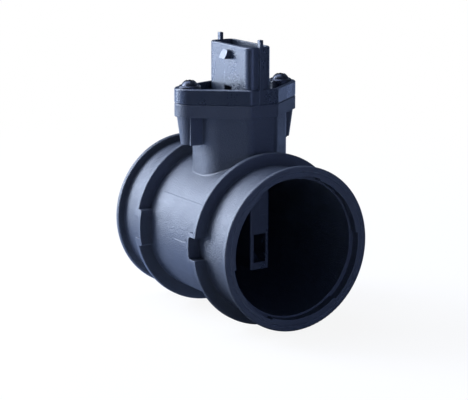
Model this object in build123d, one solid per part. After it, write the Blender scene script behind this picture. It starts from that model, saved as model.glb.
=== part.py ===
from build123d import *
import os
from math import cos, hypot, radians, sin

# Mass airflow sensor: a plastic flow tube with a plug-in sensor screwed on its neck.
# X is the tube's axis in the direction of the air, Z points up through the plug.
# The origin is on the axis, in the middle of the inlet bead.

# Flow tube
tube_length = 93.6
bore_radius = 29.2
tube_wall = 2.4
spigot_wall = 2.7
spigot_length = 21.2
bead_width = 2.4
bead_height = 3.1
bead_rounding = 0.7
rib_width = 2.4
rib_height = 5.2
rib_edge = 0.3
mouth_depth = 4.0
mouth_step = 0.8
mouth_relief = 0.9
mouth_relief_count = 3
mouth_relief_first_angle = 98.0
mouth_relief_span = 58.0
end_ring_radius = 32.3
end_ring_width = 0.6
end_ring_depth = 0.25

# Locating jogs of the two hose-stop ribs, on the side at 9 o'clock
jog_pocket_half_height = 4.8
jog_wall = 1.3
jog_rounding = 1.2
inlet_jog_depth = 3.6
inlet_jog_side_wall = 3.3
outlet_jog_depth = 4.9
outlet_jog_side_wall = 1.8

# Marking pad and flow arrow on the same side
pad_length = 34.8
pad_half_height = 16.3
pad_relief = 0.2
arrow_length = 12.0
arrow_height = 5.0
arrow_shaft = 1.8
arrow_relief = 0.3
arrow_drop = 1.7

# Sensor axis, measured along the tube from its middle
sensor_offset = 1.6

# Flanges: the lower one is part of the tube, the upper one of the sensor
joint_height = 56.6
lower_flange_thickness = 5.6
upper_flange_thickness = 6.5
flange_half_length = 17.2
flange_outlet_face_half = 8.0
flange_outlet_face_shift = 1.7
flange_outlet_corner = 2.0
flange_inlet_corner = 4.0
flange_inlet_face_half = 8.0
flange_rim_width = 1.5
flange_recess_depth = 3.2
flange_edge = 0.4
seam_edge = 0.35

# Screws stand diagonally across the flange
screw_spacing_across = 43.6
screw_spacing_along = 3.6
screw_offset = 3.3
screw_pad_radius = 6.5
screw_shank_radius = 2.4
screw_length = 17.0
screw_tip_length = 2.5
screw_flange_radius = 4.8
screw_flange_thickness = 0.9
screw_dome_radius = 3.6
screw_dome_height = 2.5
screw_drive_radius = 1.6
screw_lobe_radius = 0.45
screw_lobe_count = 6
screw_drive_depth = 1.6
screw_hole_clearance = 0.3
screw_thread_clearance = 0.05

# Neck and screw bosses. Each round of the neck has its place from the sensor's axis and its radius
neck_rounds = [
    (-12.7, -4.0, 4.0),
    (-5.9, -9.6, 9.0),
    (-0.8, -6.7, 12.0),
    (12.0, -3.1, 5.0),
    (12.0, 6.0, 5.0),
    (2.3, 10.4, 10.0),
    (-12.7, 4.0, 4.0),
]
neck_fillet = 0.8
boss_length = 12.1
boss_top_radius = 5.5
boss_bottom_radius = 3.9
boss_web = 10.5
boss_web_nose = 2.6
boss_floor = 1.6
core_pocket_depth = 14.0
core_pocket_wall = 2.4

# Plug of the sensor in the neck
plug_length = 29.8
plug_width = 13.6
plug_corner_radius = 3.5
plug_clearance = 0.15
plug_bottom = 29.5
seal_section = 2.4
seal_groove_height = 2.9
seal_groove_depth = 1.9
seal_drop = 6.0
seal_rounding = 0.8

# Probe in the bore, set a little toward the outlet and to the right
probe_offset = 0.8
probe_shift = 0.4
probe_length = 29.4
probe_width = 9.3
probe_bottom = -14.8
probe_nose_radius = 2.5
probe_tail_radius = 0.6
probe_joint = 0.5
probe_step = 0.35
probe_step_height = 8.9
cover_clearance = 0.02

# Bypass channel through the probe
channel_width = 6.0
channel_bottom = -11.8
channel_top = 0.6
throat_height = 7.4
throat_length = 9.0
throat_ramp = 6.0
ramp_steps = 6

# Circuit chamber above the channel
chamber_bottom = 4.0
chamber_top = 27.0
chamber_side_wall = 1.6
chamber_cover_depth = 3.5
plate_thickness = 1.0
board_thickness = 0.8
stack_clearance = 0.02
board_height = 18.5
board_gap = 0.4
chip_size = 8.0
chip_thickness = 1.4
chip_height = 15.5
chip_bevel = 0.28
capacitor_length = 3.2
capacitor_width = 2.0
capacitor_thickness = 1.2
capacitor_height = 9.6
capacitor_rounding = 0.15
capacitor_pitch = 6.2
capacitor_count = 3
holder_width = 6.4
holder_bottom = -8.2
holder_slot_clearance = 0.02
sensing_chip_size = 3.6
sensing_chip_thickness = 0.4
sensing_chip_height = -5.2

# Air thermistor on the far side of the probe
thermistor_along = -11.2
thermistor_height = 15.0
thermistor_radius = 0.75
thermistor_stand_off = 1.0
lead_radius = 0.25
lead_entry = 0.65
lead_edge_gap = 0.5
lead_spacing = 7.0
lead_bend_radius = 0.6

# Connector, a little toward the outlet from the plug
connector_offset = 0.3
shroud_length = 32.0
shroud_width = 12.0
shroud_corner_radius = 3.0
shroud_wall = 1.4
shroud_height = 24.4
shroud_edge = 0.4
socket_floor = 8.0
guide_length = 2.0
guide_width = 1.6
guide_rise = 3.0
latch_width = 4.8
latch_drop = 2.1
latch_height = 3.9
latch_top_reach = 1.4
latch_reach = 3.4
latch_rounding = 1.8
core_slot_width = 6.0
core_slot_bottom = 4.5
core_slot_height = 2.1
core_slot_depth = 2.6
terminal_count = 5
terminal_pitch = 4.8
terminal_width = 1.5
terminal_thickness = 0.8
terminal_tip = 6.5
terminal_tail = 4.0
terminal_clearance = 0.02
terminal_bevel = 0.2

# Worked out from the sizes above
tube_radius = bore_radius + tube_wall
spigot_radius = bore_radius + spigot_wall
bead_radius = spigot_radius + bead_height
rib_radius = spigot_radius + rib_height
inlet_end = -bead_width / 2
outlet_end = inlet_end + tube_length
middle = inlet_end + tube_length / 2
inlet_stop = inlet_end + spigot_length
outlet_stop = outlet_end - spigot_length
sensor_x = middle + sensor_offset
connector_x = sensor_x + connector_offset
flange_bottom = joint_height - lower_flange_thickness
flange_top = joint_height + upper_flange_thickness
flange_floor = flange_top - flange_recess_depth
shroud_top = joint_height + shroud_height
socket_bottom = joint_height + socket_floor
screw_middle = sensor_x - screw_offset
screws = [
    (screw_middle - screw_spacing_along / 2, -screw_spacing_across / 2),
    (screw_middle + screw_spacing_along / 2, screw_spacing_across / 2),
]
probe_x = sensor_x + probe_offset
probe_near_side = probe_shift - probe_width / 2
probe_far_side = probe_shift + probe_width / 2
plate_back = probe_joint + stack_clearance + board_thickness + plate_thickness
board_face = probe_joint + stack_clearance
board_back = board_face + board_thickness
chamber_length = probe_length - 2 * chamber_side_wall
board_bottom = chamber_top - board_gap - board_height
channel_middle = (channel_bottom + channel_top) / 2
reach = 2 * rib_radius
near_zero = 0.001


def disc(radius, start, end):
    """A round solid along the tube's axis."""
    return extrude(Plane.YZ.offset(start) * Circle(radius), end - start)


def block(x0, x1, y0, y1, z0, z1):
    """A block between two corners."""
    return Pos((x0 + x1) / 2, (y0 + y1) / 2, (z0 + z1) / 2) * Box(x1 - x0, y1 - y0, z1 - z0)


def hull(circles):
    """A plan outline drawn tight around circles given as x, y and radius."""
    edges = [edge for x, y, radius in circles for edge in (Pos(x, y) * Circle(radius)).edges()]
    return make_hull(edges)


def prism(outline, bottom, top):
    """A plan outline raised between two heights."""
    return extrude(Pos(0, 0, bottom) * outline, top - bottom)


def flange_outline(inset=0.0):
    """Round at the two screws, with a broad flat side toward the outlet and one toward the inlet."""
    outlet_face = sensor_x + flange_half_length
    inlet_face = sensor_x - flange_half_length
    circles = [(x, y, screw_pad_radius - inset) for x, y in screws]
    for end in (-1, 1):
        across = flange_outlet_face_shift + end * (flange_outlet_face_half - flange_outlet_corner)
        circles.append((outlet_face - flange_outlet_corner, across, flange_outlet_corner - inset))
        across = end * (flange_inlet_face_half - flange_inlet_corner)
        circles.append((inlet_face + flange_inlet_corner, across, flange_inlet_corner - inset))
    return hull(circles)


def flange_plate(bottom, top, lower_edge, upper_edge):
    """A plate of the flange's outline with its two outer edges broken."""
    plate = prism(flange_outline(), bottom, top)
    levels = plate.edges().group_by(Axis.Z)
    if lower_edge:
        plate = chamfer(levels[0], lower_edge)
        levels = plate.edges().group_by(Axis.Z)
    return chamfer(levels[-1], upper_edge)


def neck_outline():
    """A soft oval that stays inside the flange, drawn tight around its corner rounds."""
    return hull([(sensor_x + x, y, radius) for x, y, radius in neck_rounds])


def plug_outline(grow=0.0):
    """Rounded rectangle of the plug, and of the hole that takes it."""
    return Pos(probe_x, 0) * RectangleRounded(
        plug_length + 2 * grow, plug_width + 2 * grow, plug_corner_radius + grow
    )


def jog_form(near, far, height, rounding):
    """A block with rounded corners seen from the side, on the side of the tube with the jogs."""
    form = Pos((near + far) / 2, 0) * RectangleRounded(far - near, 2 * height, rounding)
    return extrude(Plane.XZ * form, reach)


def jog(stop, inward, depth, side_wall):
    """The rib steps toward the tube's middle around a pocket that opens to the hose."""
    near, far = sorted((stop - inward * rib_width, stop + inward * (depth + jog_wall)))
    form = jog_form(near, far, jog_pocket_half_height + side_wall, jog_rounding)
    near, far = sorted((stop, stop + inward * (depth + jog_wall)))
    return disc(rib_radius, near, far) & form


def jog_pocket(stop, inward, depth):
    near, far = sorted((stop - inward * 2 * rib_width, stop + inward * depth))
    form = jog_form(near, far, jog_pocket_half_height, jog_rounding)
    near, far = sorted((stop - inward * rib_width, stop + inward * depth))
    ring = disc(reach, near, far) - disc(spigot_radius, near, far)
    return ring & form


def rib(near):
    ring = disc(rib_radius, near, near + rib_width)
    return chamfer(ring.edges().filter_by(GeomType.CIRCLE), rib_edge)


def bead(start):
    ring = disc(bead_radius, start, start + bead_width)
    return fillet(ring.edges().filter_by(GeomType.CIRCLE), bead_rounding)


def marking_pad():
    """A slightly raised field with a raised flow arrow that points to the outlet."""
    x0 = middle - pad_length / 2
    field = disc(tube_radius + pad_relief, x0, x0 + pad_length)
    field &= block(x0, x0 + pad_length, -reach, 0, -pad_half_height, pad_half_height)
    head = arrow_height / 2
    shaft = arrow_shaft / 2
    outline = Polyline(
        (0, shaft), (arrow_length - head, shaft), (arrow_length - head, head), (arrow_length, 0),
        (arrow_length - head, -head), (arrow_length - head, -shaft), (0, -shaft), (0, shaft),
    )
    arrow = extrude(Plane.XZ * Pos(middle, -arrow_drop) * make_face(outline), reach)
    arrow &= disc(tube_radius + pad_relief + arrow_relief, x0, x0 + pad_length)
    return field + arrow


def mouth(end, inward):
    """Stepped opening of the bore with three shallow reliefs, as at each end of the tube."""
    near, far = sorted((end, end + inward * mouth_depth))
    opening = disc(bore_radius + mouth_step, near, far)
    ring = disc(bore_radius + mouth_step + mouth_relief, near, far)
    half = radians(mouth_relief_span / 2)
    wedge = make_face(Polyline(
        (0, 0), (reach * cos(half), -reach * sin(half)), (reach * cos(half), reach * sin(half)), (0, 0)
    ))
    for number in range(mouth_relief_count):
        angle = mouth_relief_first_angle + number * 360 / mouth_relief_count
        sector = extrude(Plane.YZ.offset(near) * Rot(0, 0, angle) * wedge, far - near)
        opening += ring & sector
    return opening


def end_ring(end, inward):
    """Shallow ring in the end face, where the mould's core meets the cavity."""
    near, far = sorted((end, end + inward * end_ring_depth))
    return disc(end_ring_radius + end_ring_width, near, far) - disc(end_ring_radius, near, far)


def screw_boss(x, y):
    """Tapered boss under the flange, with a web to the neck."""
    bottom = flange_bottom - boss_length
    cone = loft([
        Pos(x, y, bottom) * Circle(boss_bottom_radius),
        Pos(x, y, flange_bottom) * Circle(boss_top_radius),
    ])
    side = -1 if y < 0 else 1
    half = side * boss_web / 2
    web = make_face(Polyline(
        (x + half, 0), (x + half, y), (x - half, y + side * boss_web_nose), (x - half, 0), (x + half, 0)
    ))
    return cone + prism(web, bottom, flange_bottom)


def core_pockets():
    """Two pockets beside the plug hole keep the moulding's walls even."""
    land = plug_outline(plug_clearance + core_pocket_wall)
    cores = offset(neck_outline(), -core_pocket_wall) - land
    for x, y in screws:
        cores -= Pos(x, y) * Circle(boss_top_radius)
        cores -= Pos(x, y / 2) * Rectangle(boss_web, screw_spacing_across / 2)
    return prism(cores, joint_height - core_pocket_depth, joint_height)


def tube_and_neck():
    """The plain tube with the neck on top, and a small fillet where the two meet."""
    body = disc(tube_radius, inlet_end, outlet_end) + prism(neck_outline(), 0, joint_height)
    root = []
    for edge in body.edges():
        spots = [edge @ share for share in (0, 0.5, 1)]
        if all(abs(hypot(spot.Y, spot.Z) - tube_radius) < near_zero for spot in spots):
            if near_zero < edge.center().Z and inlet_stop < edge.center().X < outlet_stop:
                root.append(edge)
    return fillet(root, neck_fillet)


def flow_tube():
    body = tube_and_neck()
    body += disc(spigot_radius, inlet_end, inlet_stop) + disc(spigot_radius, outlet_stop, outlet_end)
    body += rib(inlet_stop) + rib(outlet_stop - rib_width)
    body += bead(inlet_end) + bead(outlet_end - bead_width)
    body += jog(inlet_stop, 1, inlet_jog_depth, inlet_jog_side_wall)
    body += jog(outlet_stop, -1, outlet_jog_depth, outlet_jog_side_wall)
    body -= jog_pocket(inlet_stop, 1, inlet_jog_depth)
    body -= jog_pocket(outlet_stop, -1, outlet_jog_depth)
    body += marking_pad()
    body += flange_plate(flange_bottom, joint_height, 0, seam_edge)
    for x, y in screws:
        body += screw_boss(x, y)
    body -= disc(bore_radius, inlet_end, outlet_end)
    body -= mouth(inlet_end, 1) + mouth(outlet_end, -1)
    body -= end_ring(inlet_end, 1) + end_ring(outlet_end, -1)
    body -= prism(plug_outline(plug_clearance), 0, joint_height)
    body -= core_pockets()
    pilot = screw_shank_radius + screw_thread_clearance
    for x, y in screws:
        body -= Pos(x, y) * prism(Circle(pilot), flange_bottom - boss_length + boss_floor, joint_height)
    return body


def probe_blank():
    """Outer form of the probe: round nose toward the inlet, square tail toward the outlet."""
    x0 = probe_x - probe_length / 2
    form = block(x0, x0 + probe_length, probe_near_side, probe_far_side, probe_bottom, plug_bottom)
    upright = form.edges().filter_by(Axis.Z).sort_by(Axis.X)
    form = fillet(upright[:2], probe_nose_radius)
    upright = form.edges().filter_by(Axis.Z).sort_by(Axis.X)
    return fillet(upright[-2:], probe_tail_radius)


def channel_side(x0, x1, side):
    """Points along the channel's top or bottom, with a smooth ramp each side of the throat."""
    opening = (channel_top - channel_bottom) / 2
    squeeze = opening - throat_height / 2
    points = [(x0, channel_middle + side * opening)]
    for end in (-1, 1):
        for step in range(ramp_steps + 1):
            share = step / ramp_steps if end < 0 else 1 - step / ramp_steps
            x = probe_x + end * (throat_length / 2 + throat_ramp * (1 - share))
            half = opening - squeeze * (1 - cos(radians(180 * share))) / 2
            points.append((x, channel_middle + side * half))
    points.append((x1, channel_middle + side * opening))
    return points


def channel():
    """Bypass channel seen from the side: it narrows to a throat at the sensing chip."""
    x0 = probe_x - probe_length / 2
    x1 = probe_x + probe_length / 2
    outline = Polyline(*channel_side(x0, x1, 1), *reversed(channel_side(x0, x1, -1)), close=True)
    throat = make_face(outline)
    return extrude(Plane.XZ.offset(-probe_joint) * throat, channel_width / 2, both=True)


def chamber(y0, y1):
    half = chamber_length / 2
    return block(probe_x - half, probe_x + half, y0, y1, chamber_bottom, chamber_top)


def holder_blank(grow=0.0):
    """Upright blade in the plane of the board, from the chamber down into the channel."""
    half = holder_width / 2 + grow
    top = board_bottom - board_gap + grow
    return block(probe_x - half, probe_x + half, board_face - grow, board_back + grow,
                 holder_bottom, top)


def terminal_places():
    start = -(terminal_count - 1) / 2
    return [connector_x + (start + number) * terminal_pitch for number in range(terminal_count)]


def terminal_blank(x, grow=0.0):
    half = terminal_width / 2 + grow
    top = shroud_top - terminal_tip
    bottom = chamber_top - board_gap - terminal_tail
    y1 = board_face
    return block(x - half, x + half, y1 - terminal_thickness - grow, y1 + grow, bottom, top)


def lead_path(side):
    """From the board out through the probe's wall, then along to the thermistor bead."""
    x = probe_x + thermistor_along
    outer = probe_far_side + thermistor_stand_off
    z = thermistor_height + side * lead_spacing / 2
    corner = (x, outer, z)
    start = (x, board_back, z)
    stop = (x, outer, thermistor_height + side * lead_entry)
    return FilletPolyline(start, corner, stop, radius=lead_bend_radius)


def lead(side, radius):
    path = lead_path(side)
    return sweep(Plane(origin=path @ 0, z_dir=path % 0) * Circle(radius), path=path)


def seal_groove():
    top = joint_height - seal_drop
    outer = plug_outline(plug_clearance)
    inner = plug_outline(-seal_groove_depth)
    return prism(outer - inner, top - seal_groove_height, top)


def upper_flange():
    """Flange with a raised rim, pads under the screws and a floor around the connector."""
    flange = flange_plate(joint_height, flange_top, seam_edge, flange_edge)
    floor = flange_outline(flange_rim_width)
    for x, y in screws:
        floor -= Pos(x, y) * Circle(screw_flange_radius)
    flange -= prism(floor, flange_floor, flange_top)
    for x, y in screws:
        hole = Circle(screw_shank_radius + screw_hole_clearance)
        flange -= Pos(x, y) * prism(hole, joint_height, flange_top)
    return flange


def latch_ramp():
    """Ramp under the rim that the plug's catch snaps over, with rounded shoulders."""
    face = -shroud_width / 2
    root = face + shroud_wall / 2
    top = shroud_top - latch_drop
    outline = Polyline(
        (root, top), (face - latch_top_reach, top),
        (face - latch_reach, top - latch_height), (root, top - latch_height), (root, top),
    )
    ramp = extrude(Plane.YZ.offset(connector_x) * make_face(outline), latch_width / 2, both=True)
    shoulders = ramp.edges().filter_by(Axis.Y).group_by(Axis.Z)[-1]
    return fillet(shoulders, latch_rounding)


def connector():
    """Shroud with a socket, a guide pin up each end and a latch ramp."""
    outline = RectangleRounded(shroud_length, shroud_width, shroud_corner_radius)
    inner = RectangleRounded(
        shroud_length - 2 * shroud_wall, shroud_width - 2 * shroud_wall,
        shroud_corner_radius - shroud_wall,
    )
    body = prism(outline, joint_height, shroud_top)
    body = Pos(connector_x, 0) * chamfer(body.edges().group_by(Axis.Z)[-1], shroud_edge)
    for side in (-1, 1):
        x = connector_x + side * shroud_length / 2
        body += block(x - guide_length / 2, x + guide_length / 2, -guide_width / 2, guide_width / 2,
                      joint_height, shroud_top + guide_rise)
    body += latch_ramp()
    body -= Pos(connector_x, 0) * prism(inner, socket_bottom, shroud_top)
    half = core_slot_width / 2
    outer = -shroud_width / 2
    body -= block(connector_x - half, connector_x + half, outer - latch_reach, outer + core_slot_depth,
                  joint_height + core_slot_bottom, joint_height + core_slot_bottom + core_slot_height)
    return body


def sensor_housing():
    plug = prism(plug_outline(), plug_bottom, joint_height)
    half = probe_blank() & block(-reach, tube_length + reach, probe_joint, reach, -reach, reach)
    step_x = probe_x + probe_length / 2
    half -= block(step_x - probe_step, step_x, probe_joint, probe_far_side, channel_top, probe_step_height)
    body = upper_flange() + connector() + plug + half
    body -= seal_groove()
    body -= channel()
    body -= chamber(probe_joint, plate_back + stack_clearance)
    body -= holder_blank(holder_slot_clearance)
    for x in terminal_places():
        body -= terminal_blank(x, terminal_clearance)
    for side in (-1, 1):
        body -= lead(side, lead_radius + stack_clearance)
    return body


def probe_cover():
    """The half of the probe on the other side of its joint, with its share of the hollows."""
    body = probe_blank() & block(-reach, tube_length + reach, -reach, probe_joint, -reach,
                                 plug_bottom - cover_clearance)
    body -= channel()
    body -= chamber(probe_joint - chamber_cover_depth, probe_joint)
    for x in terminal_places():
        body -= terminal_blank(x, terminal_clearance)
    return body


def carrier_plate():
    half = chamber_length / 2 - stack_clearance
    left = probe_x + thermistor_along + lead_radius + lead_edge_gap
    y0 = board_back
    plate = block(left, probe_x + half, y0, y0 + plate_thickness,
                  chamber_bottom + stack_clearance, chamber_top - board_gap)
    return plate


def circuit_board():
    half = chamber_length / 2 - stack_clearance
    return block(probe_x - half, probe_x + half, board_face, board_back,
                 board_bottom, chamber_top - board_gap)


def on_board(x, z, length, width, thickness):
    return block(x - length / 2, x + length / 2, board_face - thickness, board_face,
                 z - width / 2, z + width / 2)


def control_chip():
    body = on_board(probe_x, chip_height, chip_size, chip_size, chip_thickness)
    return chamfer(body.faces().sort_by(Axis.Y)[0].edges(), chip_bevel)


def capacitor(number):
    x = probe_x + (number - (capacitor_count - 1) / 2) * capacitor_pitch
    body = on_board(x, capacitor_height, capacitor_width, capacitor_length, capacitor_thickness)
    return fillet(body.edges().filter_by(Axis.Z), capacitor_rounding)


def sensing_pocket(size, thickness):
    return block(probe_x - size / 2, probe_x + size / 2, board_face, board_face + thickness,
                 sensing_chip_height - size / 2, sensing_chip_height + size / 2)


def chip_holder():
    return holder_blank() - sensing_pocket(sensing_chip_size, sensing_chip_thickness)


def sensing_chip():
    return sensing_pocket(sensing_chip_size - 2 * stack_clearance, sensing_chip_thickness)


def seal_ring():
    """Rubber ring that lies on the floor of the groove and fills the gap to the neck."""
    radius = seal_section / 2
    z = joint_height - seal_drop - seal_groove_height / 2
    section = plug_outline(plug_clearance) - plug_outline(-seal_groove_depth)
    ring = prism(section, z - radius, z + radius)
    level = ring.edges().group_by(Axis.Z)
    return fillet(level[0] + level[-1], seal_rounding)


def terminal(x):
    body = terminal_blank(x)
    top = body.faces().sort_by(Axis.Z)[-1]
    return chamfer(top.edges(), terminal_bevel)


def air_thermistor():
    x = probe_x + thermistor_along
    y = probe_far_side + thermistor_stand_off
    body = Pos(x, y, thermistor_height) * Sphere(thermistor_radius)
    for side in (-1, 1):
        body -= lead(side, lead_radius)
    return body


def screw(x, y):
    """Flanged button-head screw for plastic, with a six-lobed drive."""
    seat = flange_top
    shank = Circle(screw_shank_radius)
    body = prism(shank, seat - screw_length + screw_tip_length, seat)
    body += loft([
        Pos(0, 0, seat - screw_length) * Circle(screw_shank_radius / 2),
        Pos(0, 0, seat - screw_length + screw_tip_length) * shank,
    ])
    collar = prism(Circle(screw_flange_radius), seat, seat + screw_flange_thickness)
    rim = collar.edges().group_by(Axis.Z)[-1]
    body += chamfer(rim, screw_flange_thickness / 2)
    sphere = (screw_dome_radius ** 2 + screw_dome_height ** 2) / (2 * screw_dome_height)
    base = seat + screw_flange_thickness
    dome = Pos(0, 0, base + screw_dome_height - sphere) * Sphere(sphere)
    body += dome & prism(Circle(screw_dome_radius), base, base + screw_dome_height)
    top = base + screw_dome_height
    drive = Circle(screw_drive_radius)
    for lobe in range(screw_lobe_count):
        turned = Rot(0, 0, 360 / screw_lobe_count * lobe)
        drive += turned * Pos(screw_drive_radius, 0) * Circle(screw_lobe_radius)
    body -= prism(drive, top - screw_drive_depth, top)
    return Pos(x, y) * body


pieces = {
    "flow_tube": flow_tube(),
    "sensor_housing": sensor_housing(),
    "probe_cover": probe_cover(),
    "carrier_plate": carrier_plate(),
    "circuit_board": circuit_board(),
    "control_chip": control_chip(),
    "chip_holder": chip_holder(),
    "sensing_chip": sensing_chip(),
    "seal_ring": seal_ring(),
    "air_thermistor": air_thermistor(),
    "thermistor_lead_upper": lead(1, lead_radius),
    "thermistor_lead_lower": lead(-1, lead_radius),
    "screw_left": screw(*screws[0]),
    "screw_right": screw(*screws[1]),
}
for number in range(capacitor_count):
    pieces[f"capacitor_{number + 1}"] = capacitor(number)
for number, place in enumerate(terminal_places()):
    pieces[f"terminal_{number + 1}"] = terminal(place)

os.makedirs("parts", exist_ok=True)
for name, piece in pieces.items():
    export_step(piece, f"parts/{name}.step")
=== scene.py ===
from math import cos, pi, radians, sin

import bpy
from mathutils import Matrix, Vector


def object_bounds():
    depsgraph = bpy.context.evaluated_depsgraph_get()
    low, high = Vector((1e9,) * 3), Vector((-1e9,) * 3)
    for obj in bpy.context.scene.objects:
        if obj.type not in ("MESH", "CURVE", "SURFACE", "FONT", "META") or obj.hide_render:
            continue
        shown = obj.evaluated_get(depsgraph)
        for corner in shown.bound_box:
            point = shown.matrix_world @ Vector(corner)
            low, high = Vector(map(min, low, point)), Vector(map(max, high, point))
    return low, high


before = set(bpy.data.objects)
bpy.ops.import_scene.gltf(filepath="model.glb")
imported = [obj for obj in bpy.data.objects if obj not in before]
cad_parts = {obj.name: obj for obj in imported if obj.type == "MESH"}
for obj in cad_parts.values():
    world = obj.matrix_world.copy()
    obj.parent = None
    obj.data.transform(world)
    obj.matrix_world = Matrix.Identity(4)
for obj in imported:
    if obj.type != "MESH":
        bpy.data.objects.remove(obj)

cad_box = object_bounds()

# The camera stands where the photograph was taken: in front of the outlet end, to the left
# of the tube and a little above it, with a long lens.
sight = Vector((-0.8308, 0.5136, -0.2145))
camera = bpy.data.objects.new("camera", bpy.data.cameras.new("camera"))
camera.data.sensor_width = 36.0
camera.data.lens = 140.01
camera.data.clip_start = 0.05
camera.location = (0.7011, -0.4071, 0.1818)
camera.rotation_mode = "QUATERNION"
camera.rotation_quaternion = sight.to_track_quat("-Z", "Y")
bpy.context.scene.collection.objects.link(camera)
bpy.context.scene.camera = camera

# Flow tube: one injection moulding of black glass-filled nylon, with hose beads and stop ribs.
# The steel of the mould was eroded, which leaves a fine even grain, and the glass fibres
# make the skin a little cloudy. Edges are painted paler: partly wear rubbed in by hands and
# hoses, partly a painted highlight along the edges.
nylon_black = (0.016, 0.022, 0.036, 1.0)
# Pale edge colour: rubbed wear, and a painted highlight along the edges.
nylon_rubbed_and_glint = (0.105, 0.125, 0.175, 1.0)
nylon_index = 1.58
nylon_sheen = 1.0
pit_paleness = 1.5
pit_dulling = 0.10
cloudiness = 0.08
grain_relief = 0.0001
tube_mould = {"Pits per metre": 1900.0, "Depth": 2.7, "Sink": 0.5, "Flow": (1.0, 1.0, 1.0)}


def plug_in(tree, values, kind, **settings):
    """A node with its settings, and its sockets either linked to an output or given a value."""
    node = tree.nodes.new(kind)
    for name, value in settings.items():
        setattr(node, name, value)
    for name, value in values.items():
        if isinstance(value, bpy.types.NodeSocket):
            tree.links.new(value, node.inputs[name])
        else:
            node.inputs[name].default_value = value
    return node


def on_piece(tree):
    """The place on the piece, in metres."""
    return tree.nodes.new("ShaderNodeTexCoord").outputs["Object"]


def mottle(tree, place, per_metre, detail, roughness):
    """Random mottle as a value about 0.5, so many spots to the metre."""
    return plug_in(tree, {
        "Vector": place, "Scale": per_metre, "Detail": detail, "Roughness": roughness,
    }, "ShaderNodeTexNoise").outputs["Fac"]


def spread(tree, value, start, end, low=0.0, high=1.0, **settings):
    """The stretch of a value from start to end, laid out from low to high."""
    return plug_in(tree, {
        "Value": value, "From Min": start, "From Max": end, "To Min": low, "To Max": high,
    }, "ShaderNodeMapRange", **settings).outputs["Result"]


def wander(tree, mottled, low, high):
    """A value that strays from low to high with a mottle, most of which is 0.3 to 0.7."""
    return spread(tree, mottled, 0.3, 0.7, low, high)


def reckon(tree, operation, *values):
    """A sum over plain values, by the name that the Math node has for it."""
    return plug_in(tree, dict(enumerate(values)), "ShaderNodeMath", operation=operation).outputs[0]


def reckon_vector(tree, operation, *values):
    """The outputs of a sum over vectors, by the name that the Vector Math node has for it."""
    return plug_in(tree, dict(enumerate(values)), "ShaderNodeVectorMath", operation=operation).outputs


def blend(tree, share, under, over):
    """One colour over another, where a share of one hides the colour under it."""
    return plug_in(tree, {"Factor": share, "A": under, "B": over},
                   "ShaderNodeMix", data_type="RGBA").outputs["Result"]


def toned(colour, times):
    """The same colour, lighter or darker."""
    return tuple(channel * times for channel in colour[:3]) + (1.0,)


def new_material(name, colour):
    """A material and its node tree and shader, with the colour also shown in the viewport."""
    material = bpy.data.materials.new(name)
    material.use_nodes = True
    material.diffuse_color = colour
    tree = material.node_tree
    return material, tree, tree.nodes["Principled BSDF"]


def lay_skin(tree, skin, colour, roughness, relief):
    """Colour, roughness and relief of a finish go into its shader."""
    bump = plug_in(tree, relief, "ShaderNodeBump")
    tree.links.new(colour, skin.inputs["Base Color"])
    tree.links.new(roughness, skin.inputs["Roughness"])
    tree.links.new(bump.outputs["Normal"], skin.inputs["Normal"])


def shade_group(name, inputs, outputs):
    """An empty node group with its inputs and outputs, and the nodes that stand for them."""
    group = bpy.data.node_groups.new(name, "ShaderNodeTree")
    for label, kind, value in inputs:
        group.interface.new_socket(label, in_out="INPUT", socket_type=kind).default_value = value
    for label, kind in outputs:
        group.interface.new_socket(label, in_out="OUTPUT", socket_type=kind)
    return group, group.nodes.new("NodeGroupInput"), group.nodes.new("NodeGroupOutput")


def moulded_grain():
    """Fine pits of an eroded mould over soft waves of sink: height, speckle and cloud."""
    clouds_per_metre = 90.0
    dips_per_metre = 38.0
    speckle_from, speckle_to = 0.40, 0.68
    group, given, result = shade_group(
        "moulded_grain",
        [("Pits per metre", "NodeSocketFloat", 1500.0), ("Depth", "NodeSocketFloat", 1.0),
         ("Sink", "NodeSocketFloat", 1.0), ("Flow", "NodeSocketVector", (1.0, 1.0, 1.0))],
        [("Height", "NodeSocketFloat"), ("Speckle", "NodeSocketFloat"), ("Cloud", "NodeSocketFloat")],
    )
    place = on_piece(group)
    pits = mottle(group, place, given.outputs["Pits per metre"], detail=3.0, roughness=0.6)
    drawn = reckon_vector(group, "MULTIPLY", place, given.outputs["Flow"])["Vector"]
    cloud = mottle(group, drawn, clouds_per_metre, detail=6.0, roughness=0.62)
    dips = mottle(group, place, dips_per_metre, detail=1.0, roughness=0.5)
    pit_height = reckon(group, "MULTIPLY", pits, given.outputs["Depth"])
    dip_height = reckon(group, "MULTIPLY", dips, given.outputs["Sink"])
    height = reckon(group, "ADD", dip_height, pit_height)
    speckle = spread(group, pits, speckle_from, speckle_to)
    group.links.new(height, result.inputs["Height"])
    group.links.new(speckle, result.inputs["Speckle"])
    group.links.new(cloud, result.inputs["Cloud"])
    return group


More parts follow.
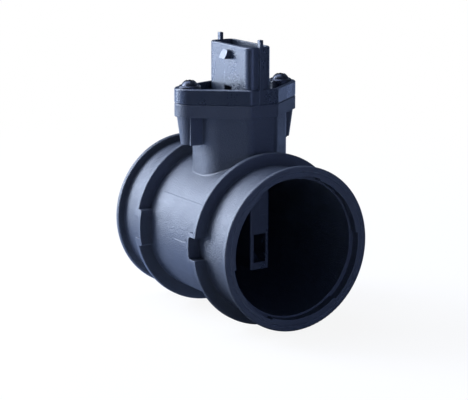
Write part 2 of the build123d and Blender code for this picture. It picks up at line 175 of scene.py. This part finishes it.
def edge_wear_and_glint():
    """The rounding of a moulded edge as a normal, and a mask of the edge: rubbed, and on plastics a
    painted highlight.
    """
    barely_turned, well_turned = 0.995, 0.80
    patches_per_metre = 420.0
    patch_from, patch_to = 0.38, 0.66
    group, given, result = shade_group(
        "edge_wear_and_glint",
        [("Radius", "NodeSocketFloat", 0.0004)],
        [("Normal", "NodeSocketVector"), ("Mask", "NodeSocketFloat")],
    )
    rounded = plug_in(group, {"Radius": given.outputs["Radius"]}, "ShaderNodeBevel", samples=6)
    flat = group.nodes.new("ShaderNodeNewGeometry")
    turn = reckon_vector(group, "DOT_PRODUCT", rounded.outputs["Normal"], flat.outputs["Normal"])
    edge = spread(group, turn["Value"], barely_turned, well_turned)
    scuff_and_glint_patches = mottle(group, on_piece(group), patches_per_metre, detail=6.0, roughness=0.7)
    patchy = spread(group, scuff_and_glint_patches, patch_from, patch_to)
    # The edge mask marks rubbed wear, and on the plastics a painted highlight along the edges.
    mask = reckon(group, "MULTIPLY", edge, patchy)
    group.links.new(rounded.outputs["Normal"], result.inputs["Normal"])
    group.links.new(mask, result.inputs["Mask"])
    return group


grain_group = moulded_grain()
edge_group = edge_wear_and_glint()


def wear_and_glint_at_edge(tree, radius):
    """The outputs of the edge group: the rounded normal, and the mask of what is rubbed, on plastics also
    painted highlight.
    """
    return plug_in(tree, {"Radius": radius}, "ShaderNodeGroup", node_tree=edge_group).outputs


def moulded_plastic(name, colour, rubbed_and_glint, mould, roughness, edge_radius):
    """Black glass-filled plastic with grain, cloudy shine and paler edges: rubbed wear and painted
    highlight.
    """
    material, tree, skin = new_material(name, colour)
    grain = plug_in(tree, mould, "ShaderNodeGroup", node_tree=grain_group).outputs
    edge = wear_and_glint_at_edge(tree, edge_radius)
    body = blend(tree, grain["Speckle"], colour, toned(colour, pit_paleness))
    # The edges take the pale colour: rubbed wear, and a painted highlight.
    edged_colour = blend(tree, edge["Mask"], body, rubbed_and_glint)
    cloudy = wander(tree, grain["Cloud"], roughness - cloudiness, roughness + cloudiness)
    dulled = reckon(tree, "MULTIPLY_ADD", grain["Speckle"], pit_dulling, cloudy)
    lay_skin(tree, skin, edged_colour, dulled, {
        "Height": grain["Height"], "Normal": edge["Normal"], "Strength": 1.0, "Distance": grain_relief,
    })
    skin.inputs["IOR"].default_value = nylon_index
    skin.inputs["Specular IOR Level"].default_value = nylon_sheen
    return material


def dress(node, material):
    """The CAD solid keeps its shape and takes the material."""
    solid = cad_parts[node]
    solid.data.materials.clear()
    solid.data.materials.append(material)


dress("flow_tube", moulded_plastic(
    "tube_plastic", nylon_black, nylon_rubbed_and_glint, tube_mould, roughness=0.44, edge_radius=0.0004))

# Sensor housing: a second moulding of the same nylon, from a smoother mould, so it is shinier.
# It is plug, flange, socket with guide pins, and one half of the probe, all in one piece.
housing_black = (0.015, 0.021, 0.034, 1.0)
housing_mould = {"Pits per metre": 1600.0, "Depth": 1.3, "Sink": 1.1, "Flow": (1.6, 1.6, 0.45)}

dress("sensor_housing", moulded_plastic(
    "housing_plastic", housing_black, nylon_rubbed_and_glint, housing_mould, roughness=0.29, edge_radius=0.00032))

# Probe cover: the other half of the probe, a lid of the same plastic glued on along the joint.
# It hangs in the air stream, so a little oily dust dulls it.
cover_black = (0.015, 0.020, 0.031, 1.0)
# Pale edge colour of the cover: rubbed wear, and a painted highlight along the edges.
cover_rubbed_and_glint = (0.080, 0.095, 0.130, 1.0)
cover_mould = {"Pits per metre": 1600.0, "Depth": 1.3, "Sink": 0.6, "Flow": (1.0, 1.0, 0.6)}

dress("probe_cover", moulded_plastic(
    "cover_plastic", cover_black, cover_rubbed_and_glint, cover_mould, roughness=0.38, edge_radius=0.0002))

# Housing screws: two flanged button-head screws of steel for plastic, zinc plated and
# passivated black. They are driven through the flange into the bosses of the tube.
screw_black = (0.060, 0.064, 0.075, 1.0)
coat_thick = (0.045, 0.048, 0.058, 1.0)
coat_thin = (0.085, 0.090, 0.105, 1.0)
screw_bare = (0.30, 0.30, 0.31, 1.0)
coat_relief = 0.00001
coat_metal = 0.85


def black_screw():
    """Steel under a mottled black coat, bare on the edges of head and drive."""
    material, tree, skin = new_material("screw_steel", screw_black)
    edge = wear_and_glint_at_edge(tree, radius=0.00018)
    coat = mottle(tree, on_piece(tree), per_metre=700.0, detail=5.0, roughness=0.65)
    edged_colour = blend(tree, edge["Mask"], blend(tree, coat, coat_thick, coat_thin), screw_bare)
    lay_skin(tree, skin, edged_colour, wander(tree, coat, low=0.30, high=0.44), {
        "Height": coat, "Normal": edge["Normal"], "Strength": 0.6, "Distance": coat_relief,
    })
    skin.inputs["Metallic"].default_value = coat_metal
    return material


screw_steel = black_screw()
dress("screw_left", screw_steel)
dress("screw_right", screw_steel)

# Seal ring: a moulded ring of black fluorosilicone rubber in the groove of the plug.
# It is squeezed by the tube's neck when the plug goes in, and keeps air from leaking past.
rubber_black = (0.035, 0.035, 0.035, 1.0)
rubber_clean = (0.026, 0.026, 0.028, 1.0)
rubber_bloom = (0.052, 0.052, 0.054, 1.0)
bloom_relief = 0.00002


def matt_rubber():
    """Rubber with the dull bloom that comes out of it in patches."""
    material, tree, skin = new_material("seal_rubber", rubber_black)
    bloom = mottle(tree, on_piece(tree), per_metre=260.0, detail=4.0, roughness=0.6)
    dusted = blend(tree, bloom, rubber_clean, rubber_bloom)
    lay_skin(tree, skin, dusted, wander(tree, bloom, low=0.62, high=0.80),
             {"Height": bloom, "Strength": 0.5, "Distance": bloom_relief})
    return material


dress("seal_ring", matt_rubber())

# Terminals: five blades stamped from bronze strip and tin plated, bevelled at the tip.
# They are pushed through the housing and stand in a row in the socket.
tin_bright = (0.66, 0.65, 0.62, 1.0)
line_darkness = 0.78
line_relief = 0.00001


def drawn_metal(name, colour, lines_per_metre, stretch, roughness):
    """Bright metal with the lines of rolling or drawing, along the way whose stretch is small."""
    material, tree, skin = new_material(name, colour)
    lay = plug_in(tree, {"Vector": on_piece(tree), "Scale": stretch},
                  "ShaderNodeMapping", vector_type="POINT")
    lines = mottle(tree, lay.outputs["Vector"], lines_per_metre, detail=5.0, roughness=0.6)
    tint = blend(tree, lines, toned(colour, line_darkness), colour)
    lay_skin(tree, skin, tint, wander(tree, lines, *roughness),
             {"Height": lines, "Strength": 0.4, "Distance": line_relief})
    skin.inputs["Metallic"].default_value = 1.0
    return material


tin_plate = drawn_metal(
    "terminal_metal", tin_bright, lines_per_metre=900.0, stretch=(1.0, 1.0, 0.06), roughness=(0.24, 0.38))
for number in range(1, 6):
    dress(f"terminal_{number}", tin_plate)

# Carrier plate: rolled aluminium sheet behind the circuit board. It spreads the heat of the
# board and stiffens the probe, and is glued to the board's back.
aluminium = (0.72, 0.73, 0.74, 1.0)

dress("carrier_plate", drawn_metal(
    "plate_metal", aluminium, lines_per_metre=500.0, stretch=(0.05, 1.0, 1.0), roughness=(0.32, 0.48)))

# Circuit board: white fired alumina with silver-palladium tracks printed and burnt in, as used
# for a hybrid circuit that sits in hot air. It lies in the chamber between the probe's halves.
alumina = (0.85, 0.84, 0.80, 1.0)
alumina_yellow = (0.80, 0.79, 0.74, 1.0)
alumina_white = (0.88, 0.87, 0.84, 1.0)
track_silver = (0.55, 0.54, 0.50, 1.0)
track_relief = 0.00001


def printed_alumina():
    """Fired ceramic with a regular print of tracks, which stand a little proud of it."""
    material, tree, skin = new_material("board_ceramic", alumina)
    place = on_piece(tree)
    grainy = mottle(tree, place, per_metre=1400.0, detail=4.0, roughness=0.6)
    fired = blend(tree, grainy, alumina_yellow, alumina_white)
    upright = plug_in(tree, {"Vector": place, "Rotation": (pi / 2, 0.0, 0.0)},
                      "ShaderNodeMapping", vector_type="POINT")
    tracks = plug_in(tree, {
        "Vector": upright.outputs["Vector"], "Scale": 260.0, "Mortar Size": 0.035, "Mortar Smooth": 0.1,
        "Brick Width": 1.7, "Row Height": 0.42,
    }, "ShaderNodeTexBrick", offset=0.37).outputs["Fac"]
    printed = blend(tree, tracks, fired, track_silver)
    lay_skin(tree, skin, printed, wander(tree, grainy, low=0.42, high=0.58),
             {"Height": tracks, "Strength": 0.5, "Distance": track_relief})
    return material


dress("circuit_board", printed_alumina())

# Control chip: silicon moulded into a black epoxy package, glued and wired to the board.
# Its face has the even sparkle of the silica in the epoxy.
epoxy_black = (0.026, 0.026, 0.030, 1.0)
epoxy_silica = (0.060, 0.060, 0.066, 1.0)
speck_relief = 0.00001


def speckled_solid(name, dark, light, specks_per_metre, roughness, relief):
    """An opaque fired, cast or cut material whose filler or grain shows as fine specks."""
    material, tree, skin = new_material(name, dark)
    specks = mottle(tree, on_piece(tree), specks_per_metre, detail=4.0, roughness=0.65)
    lay_skin(tree, skin, blend(tree, specks, dark, light), wander(tree, specks, *roughness),
             {"Height": specks, "Strength": 0.5, "Distance": relief})
    return material


dress("control_chip", speckled_solid(
    "chip_resin", epoxy_black, epoxy_silica,
    specks_per_metre=1500.0, roughness=(0.44, 0.60), relief=speck_relief))

# Capacitors: three blocks of brown fired ceramic, soldered to the board in a row.
# They smooth the supply, and their faces are slightly glassy from the kiln.
fired_brown = (0.46, 0.34, 0.22, 1.0)
fired_tan = (0.60, 0.47, 0.32, 1.0)
capacitor_ceramic = speckled_solid(
    "capacitor_ceramic", fired_brown, fired_tan,
    specks_per_metre=1800.0, roughness=(0.28, 0.42), relief=speck_relief)

for number in range(1, 4):
    dress(f"capacitor_{number}", capacitor_ceramic)

# Chip holder: a blade of dark green filled resin that carries the sensing chip into the throat
# of the bypass channel, in line with the board.
resin_green = (0.035, 0.095, 0.070, 1.0)
resin_filler = (0.065, 0.150, 0.110, 1.0)

dress("chip_holder", speckled_solid(
    "holder_resin", resin_green, resin_filler,
    specks_per_metre=1100.0, roughness=(0.40, 0.54), relief=speck_relief))

# Sensing chip: a polished flake of silicon with a thin heated film in its middle.
# The air that passes cools the film, and that is what is measured.
silicon_blue = (0.19, 0.21, 0.27, 1.0)
silicon_grey = (0.26, 0.28, 0.35, 1.0)
polish_relief = 0.000002

dress("sensing_chip", speckled_solid(
    "silicon", silicon_blue, silicon_grey,
    specks_per_metre=400.0, roughness=(0.10, 0.18), relief=polish_relief))

# Air thermistor and leads: a bead dipped in dark red epoxy on two tinned wires, bent out
# through the wall of the probe, so that it measures the temperature of the passing air.
dip_red = (0.13, 0.038, 0.022, 1.0)
dip_pale = (0.20, 0.065, 0.040, 1.0)
wire_tin = (0.70, 0.70, 0.68, 1.0)

dress("air_thermistor", speckled_solid(
    "thermistor_resin", dip_red, dip_pale,
    specks_per_metre=900.0, roughness=(0.18, 0.28), relief=speck_relief))
tinned_wire = drawn_metal(
    "lead_wire", wire_tin, lines_per_metre=1200.0, stretch=(1.0, 0.06, 1.0), roughness=(0.22, 0.34))
dress("thermistor_lead_upper", tinned_wire)
dress("thermistor_lead_lower", tinned_wire)

# Floor: a large matt white sheet a hair below the part. The camera sees it as white, though
# the part's own shadow still shows on it, and further out it fades into the white behind.
floor_white = (0.92, 0.92, 0.92, 1.0)
floor_half = 3.0
floor_gap = 0.0002
pure_white = (1.0, 1.0, 1.0, 1.0)
middle = Vector(((cad_box[0].x + cad_box[1].x) / 2, 0.0, cad_box[0].z - floor_gap))


def stage_piece(name, points, faces, place, material):
    """Studio equipment, which isn't part of the object."""
    mesh = bpy.data.meshes.new(name)
    mesh.from_pydata(points, [], faces)
    mesh.materials.append(material)
    piece = bpy.data.objects.new(name, mesh)
    piece.location = place
    bpy.context.scene.collection.objects.link(piece)
    return piece


def seen_rays(tree):
    """One for the rays of the camera, of gloss and of clear things, and zero for all others."""
    path = tree.nodes.new("ShaderNodeLightPath").outputs
    first = reckon(tree, "MAXIMUM", path["Is Camera Ray"], path["Is Glossy Ray"])
    return reckon(tree, "MAXIMUM", first, path["Is Transmission Ray"])


def white_sheet():
    """Matt cloth to the lamps, and nine tenths or more pure white to the rays that are seen."""
    fade_from, fade_to = 0.10, 0.50
    near_white, far_white = 0.90, 1.0
    material, tree, cloth = new_material("white_floor", floor_white)
    cloth.inputs["Base Color"].default_value = floor_white
    cloth.inputs["Roughness"].default_value = 0.9
    distance = reckon_vector(tree, "LENGTH", on_piece(tree))["Value"]
    fade = spread(tree, distance, fade_from, fade_to, near_white, far_white,
                  interpolation_type="SMOOTHSTEP")
    share = reckon(tree, "MULTIPLY", seen_rays(tree), fade)
    glow = plug_in(tree, {"Color": pure_white, "Strength": 1.0}, "ShaderNodeEmission")
    both = plug_in(tree, {"Fac": share, 1: cloth.outputs["BSDF"], 2: glow.outputs["Emission"]},
                   "ShaderNodeMixShader")
    tree.links.new(both.outputs["Shader"], tree.nodes["Material Output"].inputs["Surface"])
    return material


floor_corners = [(floor_half * x, floor_half * y, 0.0) for x, y in ((-1, -1), (1, -1), (1, 1), (-1, 1))]
stage_piece("floor", floor_corners, [(0, 1, 2, 3)], middle, white_sheet())

# Backdrop and air: white to the camera and in clear things, and a dim cool light on the object.
# The white is what the photograph shows behind the part, and the dim light opens the shadows.
air_cool = (0.62, 0.78, 1.0, 1.0)
air_strength = 0.22

sky = bpy.data.worlds.new("sky")
bpy.context.scene.world = sky
sky.use_nodes = True
air = sky.node_tree
dim = air.nodes["Background"]
dim.inputs["Color"].default_value = air_cool
dim.inputs["Strength"].default_value = air_strength
bright = plug_in(air, {"Color": pure_white, "Strength": 1.0}, "ShaderNodeBackground")
seen = plug_in(air, {
    "Fac": seen_rays(air), 1: dim.outputs["Background"], 2: bright.outputs["Background"],
}, "ShaderNodeMixShader")
air.links.new(seen.outputs["Shader"], air.nodes["World Output"].inputs["Surface"])

# Grey tent: glowing cloth drawn round the part and under it, as for any shiny black thing in a
# studio, so that the plastic mirrors grey cloth and not the white room. It glows a little brighter
# behind the part, and on the left its ground sheet and foot carry a painted pool of lamplight,
# which the plastic shows as a painted reflection. Only gloss sees it.
tent_radius = 1.6
tent_sides = 24
tent_rows = 8
sheet_height = 0.0001
cloth_blue = (0.40, 0.55, 1.0, 1.0)
cloth_dim = 0.05
cloth_pale = 0.13
far_side = (-0.80, 0.45, 0.39)
dim_turned, pale_turned = -0.2, 1.0
left_side = (-0.96, -0.27, 0.0)
painted_light_from, painted_light_to = -0.01, 0.07
painted_light_strength = 1.2
painted_light_height = 0.2


def grey_cloth():
    """Cloth that glows by its place on the tent, with a painted pool of light low down on the left."""
    material, tree, skin = new_material("grey_cloth", cloth_blue)
    tree.nodes.remove(skin)
    place = on_piece(tree)
    way = reckon_vector(tree, "NORMALIZE", place)["Vector"]
    behind = reckon_vector(tree, "DOT_PRODUCT", way, far_side)["Value"]
    level = spread(tree, behind, dim_turned, pale_turned, cloth_dim, cloth_pale)
    axes = plug_in(tree, {"Vector": place}, "ShaderNodeSeparateXYZ")
    low = spread(tree, axes.outputs["Z"], 0.0, painted_light_height, 1.0, 0.0)
    left = reckon_vector(tree, "DOT_PRODUCT", place, left_side)["Value"]
    # A painted pool of light: the glow rises low down on the left, where lamps would light a floor.
    painted_light = spread(tree, left, painted_light_from, painted_light_to, 0.0, painted_light_strength, interpolation_type="SMOOTHSTEP")
    patch = reckon(tree, "MULTIPLY", low, painted_light)
    total = reckon(tree, "ADD", patch, level)
    glow = plug_in(tree, {"Color": cloth_blue, "Strength": total}, "ShaderNodeEmission")
    tree.links.new(glow.outputs["Emission"], tree.nodes["Material Output"].inputs["Surface"])
    return material


def tent_mesh():
    """A half ball over a flat ground sheet: its top, the sheet's middle, and then row by row."""
    points = [(0.0, 0.0, tent_radius), (0.0, 0.0, sheet_height)]
    faces = []
    for row in range(tent_rows):
        lift = pi / 2 * row / tent_rows
        for side in range(tent_sides):
            turn = 2 * pi * side / tent_sides
            points.append((tent_radius * cos(lift) * cos(turn), tent_radius * cos(lift) * sin(turn),
                           tent_radius * sin(lift) + sheet_height))
    for side in range(tent_sides):
        after = (side + 1) % tent_sides
        faces.append((1, 2 + after, 2 + side))
        for row in range(tent_rows - 1):
            low, high = 2 + row * tent_sides, 2 + (row + 1) * tent_sides
            faces.append((low + side, low + after, high + after, high + side))
        top = 2 + (tent_rows - 1) * tent_sides
        faces.append((top + side, top + after, 0))
    return points, faces


tent = stage_piece("tent", *tent_mesh(), middle, grey_cloth())
tent.visible_camera = False
tent.visible_diffuse = False
tent.visible_transmission = False
tent.visible_volume_scatter = False
tent.visible_shadow = False

# Inlet card: a round black card in the inlet, which the camera doesn't see, so that no lamp
# shines down the bore from behind.
card_black = (0.004, 0.004, 0.004, 1.0)
card_sides = 48
card_radius = 0.0299
card_place = 0.001


def black_foam():
    """Foam that gives back next to no light and has no shine."""
    material, tree, foam = new_material("black_foam", card_black)
    foam.inputs["Base Color"].default_value = card_black
    foam.inputs["Roughness"].default_value = 1.0
    foam.inputs["Specular IOR Level"].default_value = 0.0
    return material


card_turns = [2 * pi * side / card_sides for side in range(card_sides)]
card_rim = [(card_place, card_radius * cos(turn), card_radius * sin(turn)) for turn in card_turns]
card = stage_piece("inlet_card", card_rim, [tuple(range(card_sides))], (0.0, 0.0, 0.0), black_foam())
card.visible_camera = False

# Lamps: a column of soft boxes behind the part on the left, whose sheen draws the tube, one
# beside them, and weak ones in front and on the right that open the shadows.
lamp_side = 0.5
lamp_distance = 1.1
lamp_aim = Vector((0.045, 0.0, 0.01))


def soft_box(name, turn, lift, watts, colour):
    """A square soft box that faces the part, by its bearing and its height in degrees."""
    lamp = bpy.data.lights.new(name, "AREA")
    lamp.size = lamp_side
    lamp.energy = watts
    lamp.color = colour
    way = Vector((cos(radians(lift)) * cos(radians(turn)), cos(radians(lift)) * sin(radians(turn)),
                  sin(radians(lift))))
    holder = bpy.data.objects.new(name, lamp)
    holder.location = lamp_aim + way * lamp_distance
    holder.rotation_mode = "QUATERNION"
    holder.rotation_quaternion = (-way).to_track_quat("-Z", "Y")
    holder.visible_camera = False
    bpy.context.scene.collection.objects.link(holder)


soft_box("left_low", turn=-138, lift=10, watts=11.5, colour=(0.70, 0.81, 1.0))
soft_box("left_middle", turn=-139, lift=33, watts=12.8, colour=(0.69, 0.79, 1.0))
soft_box("left_side", turn=-116, lift=33, watts=3.6, colour=(0.72, 0.80, 1.0))
soft_box("left_high", turn=-141, lift=56, watts=3.6, colour=(0.65, 0.75, 1.0))
soft_box("top", turn=-140, lift=78, watts=3.6, colour=(0.54, 0.66, 1.0))
soft_box("front", turn=0, lift=10, watts=2.3, colour=(0.36, 0.48, 1.0))
soft_box("right", turn=100, lift=38, watts=0.3, colour=(0.62, 0.78, 1.0))

bpy.context.scene.view_settings.view_transform = "Standard"
